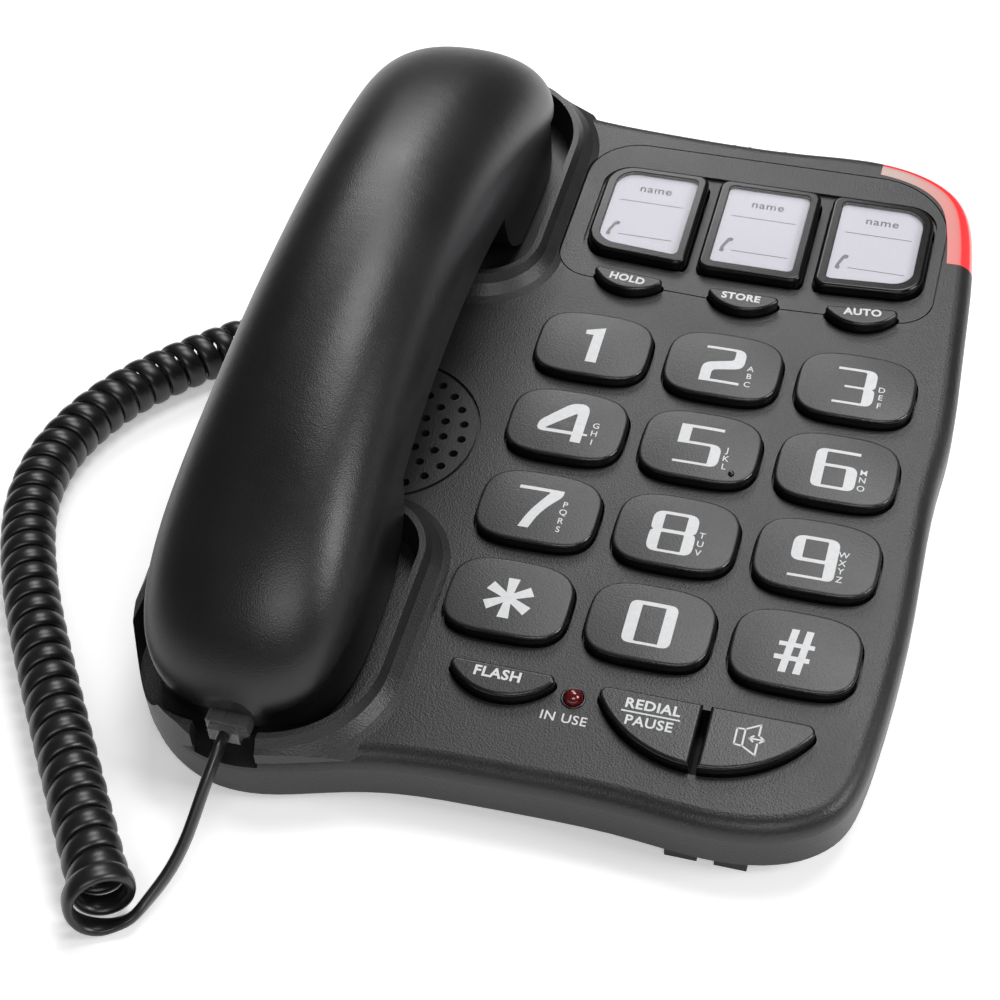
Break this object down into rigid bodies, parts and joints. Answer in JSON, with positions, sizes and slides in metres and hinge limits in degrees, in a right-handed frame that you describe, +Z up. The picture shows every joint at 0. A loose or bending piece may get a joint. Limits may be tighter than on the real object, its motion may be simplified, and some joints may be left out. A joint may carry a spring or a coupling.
{
  "type": "corded desk telephone",
  "caption": "Big-button corded desk telephone: tilted base with cradle cups, a handset, picture memory keys, a ringer lens and a curly handset cord.",
  "frame": {"origin": "bottom centre of the phone without its cord, on the table", "axes": "+Z up, +Y from the front edge to the back, +X to the right"},
  "size_m": [0.2329, 0.2706, 0.0922],
  "materials": {
    "case_black": "fine spark-eroded texture",
    "case_grey_black": "fine texture",
    "handset_black": "fine spark-eroded texture",
    "key_black": "satin with glossy sides",
    "frame_black": "gloss",
    "card": "smooth card",
    "clear_plastic": "clear",
    "red_lens": "translucent",
    "red_lamp": "tinted dome",
    "rubber_grey": "silicone",
    "rubber_black": "matt",
    "circuit_board": "solder mask",
    "speaker_metal": "satin",
    "part_plastic": "moulded",
    "steel": "zinc plated",
    "cord_black": "glossy jacket"
  },
  "bodies": {
    "base": {"base_top_shell": "case_black", "base_bottom_shell": "case_grey_black", "desk_stand": "case_grey_black", "memory_panel": "case_black", "ringer_lens": "red_lens", "in_use_lamp": "red_lamp", "keypad_mat": "rubber_grey", "main_board": "circuit_board", "loudspeaker": "speaker_metal", "hook_switch": "part_plastic", "line_jack": "part_plastic", "base_jack": "part_plastic", "stand_feet": "rubber_black", "front_feet": "rubber_black", "case_screws": "steel", "base_plug": "clear_plastic", "handset_tail": "cord_black", "cord_coil": "cord_black", "base_tail": "cord_black"},
    "handset": {"handset_outer_shell": "handset_black", "handset_inner_shell": "handset_black", "earpiece": "speaker_metal", "microphone": "speaker_metal", "handset_weight": "steel", "handset_jack": "part_plastic", "handset_screws": "steel", "handset_plug": "clear_plastic"},
    "hook_plunger": {"hook_plunger": "case_black"},
    "key_1": {"key_1": "key_black"},
    "key_2": {"key_2": "key_black"},
    "key_3": {"key_3": "key_black"},
    "key_4": {"key_4": "key_black"},
    "key_5": {"key_5": "key_black"},
    "key_6": {"key_6": "key_black"},
    "key_7": {"key_7": "key_black"},
    "key_8": {"key_8": "key_black"},
    "key_9": {"key_9": "key_black"},
    "key_star": {"key_star": "key_black"},
    "key_0": {"key_0": "key_black"},
    "key_hash": {"key_hash": "key_black"},
    "hold_key": {"hold_key": "key_black"},
    "store_key": {"store_key": "key_black"},
    "auto_key": {"auto_key": "key_black"},
    "flash_key": {"flash_key": "key_black"},
    "redial_key": {"redial_key": "key_black"},
    "speaker_key": {"speaker_key": "key_black"},
    "ringer_switch": {"ringer_switch": "part_plastic"},
    "volume_switch": {"volume_switch": "part_plastic"},
    "tone_switch": {"tone_switch": "part_plastic"},
    "memory_key_1": {"memory_key_1": "frame_black", "label_card_1": "card", "card_window_1": "clear_plastic"},
    "memory_key_2": {"memory_key_2": "frame_black", "label_card_2": "card", "card_window_2": "clear_plastic"},
    "memory_key_3": {"memory_key_3": "frame_black", "label_card_3": "card", "card_window_3": "clear_plastic"}
  },
  "joints": [
    {"name": "handset_lift", "type": "slide", "parent": "base", "child": "handset", "axis": [0, -0.1812, 0.9834], "range_m": [0, 0.08]},
    {"name": "hook_plunger_rise", "type": "slide", "parent": "base", "child": "hook_plunger", "axis": [0, -0.1812, 0.9834], "range_m": [0, 0.0032]},
    {"name": "key_1_press", "type": "slide", "parent": "base", "child": "key_1", "axis": [0, 0.1812, -0.9834], "range_m": [0, 0.0012], "stiffness_N_per_m": 500},
    {"name": "key_2_press", "type": "slide", "parent": "base", "child": "key_2", "axis": [0, 0.1812, -0.9834], "range_m": [0, 0.0012], "stiffness_N_per_m": 500},
    {"name": "key_3_press", "type": "slide", "parent": "base", "child": "key_3", "axis": [0, 0.1812, -0.9834], "range_m": [0, 0.0012], "stiffness_N_per_m": 500},
    {"name": "key_4_press", "type": "slide", "parent": "base", "child": "key_4", "axis": [0, 0.1812, -0.9834], "range_m": [0, 0.0012], "stiffness_N_per_m": 500},
    {"name": "key_5_press", "type": "slide", "parent": "base", "child": "key_5", "axis": [0, 0.1812, -0.9834], "range_m": [0, 0.0012], "stiffness_N_per_m": 500},
    {"name": "key_6_press", "type": "slide", "parent": "base", "child": "key_6", "axis": [0, 0.1812, -0.9834], "range_m": [0, 0.0012], "stiffness_N_per_m": 500},
    {"name": "key_7_press", "type": "slide", "parent": "base", "child": "key_7", "axis": [0, 0.1812, -0.9834], "range_m": [0, 0.0012], "stiffness_N_per_m": 500},
    {"name": "key_8_press", "type": "slide", "parent": "base", "child": "key_8", "axis": [0, 0.1812, -0.9834], "range_m": [0, 0.0012], "stiffness_N_per_m": 500},
    {"name": "key_9_press", "type": "slide", "parent": "base", "child": "key_9", "axis": [0, 0.1812, -0.9834], "range_m": [0, 0.0012], "stiffness_N_per_m": 500},
    {"name": "key_star_press", "type": "slide", "parent": "base", "child": "key_star", "axis": [0, 0.1812, -0.9834], "range_m": [0, 0.0012], "stiffness_N_per_m": 500},
    {"name": "key_0_press", "type": "slide", "parent": "base", "child": "key_0", "axis": [0, 0.1812, -0.9834], "range_m": [0, 0.0012], "stiffness_N_per_m": 500},
    {"name": "key_hash_press", "type": "slide", "parent": "base", "child": "key_hash", "axis": [0, 0.1812, -0.9834], "range_m": [0, 0.0012], "stiffness_N_per_m": 500},
    {"name": "hold_key_press", "type": "slide", "parent": "base", "child": "hold_key", "axis": [0, 0.1812, -0.9834], "range_m": [0, 0.0012], "stiffness_N_per_m": 500},
    {"name": "store_key_press", "type": "slide", "parent": "base", "child": "store_key", "axis": [0, 0.1812, -0.9834], "range_m": [0, 0.0012], "stiffness_N_per_m": 500},
    {"name": "auto_key_press", "type": "slide", "parent": "base", "child": "auto_key", "axis": [0, 0.1812, -0.9834], "range_m": [0, 0.0012], "stiffness_N_per_m": 500},
    {"name": "flash_key_press", "type": "slide", "parent": "base", "child": "flash_key", "axis": [0, 0.1812, -0.9834], "range_m": [0, 0.0012], "stiffness_N_per_m": 500},
    {"name": "redial_key_press", "type": "slide", "parent": "base", "child": "redial_key", "axis": [0, 0.1812, -0.9834], "range_m": [0, 0.0012], "stiffness_N_per_m": 500},
    {"name": "speaker_key_press", "type": "slide", "parent": "base", "child": "speaker_key", "axis": [0, 0.1812, -0.9834], "range_m": [0, 0.0012], "stiffness_N_per_m": 500},
    {"name": "memory_key_1_press", "type": "slide", "parent": "base", "child": "memory_key_1", "axis": [0, 0.1812, -0.9834], "range_m": [0, 0.0012], "stiffness_N_per_m": 500},
    {"name": "memory_key_2_press", "type": "slide", "parent": "base", "child": "memory_key_2", "axis": [0, 0.1812, -0.9834], "range_m": [0, 0.0012], "stiffness_N_per_m": 500},
    {"name": "memory_key_3_press", "type": "slide", "parent": "base", "child": "memory_key_3", "axis": [0, 0.1812, -0.9834], "range_m": [0, 0.0012], "stiffness_N_per_m": 500},
    {"name": "ringer_switch_slide", "type": "slide", "parent": "base", "child": "ringer_switch", "axis": [1, 0, 0], "range_m": [0, 0.004]},
    {"name": "volume_switch_slide", "type": "slide", "parent": "base", "child": "volume_switch", "axis": [1, 0, 0], "range_m": [0, 0.004]},
    {"name": "tone_switch_slide", "type": "slide", "parent": "base", "child": "tone_switch", "axis": [1, 0, 0], "range_m": [0, 0.004]}
  ],
  "couplings": [
    {"joint": "hook_plunger_rise", "follows": "handset_lift", "ratio": 0.04}
  ]
}
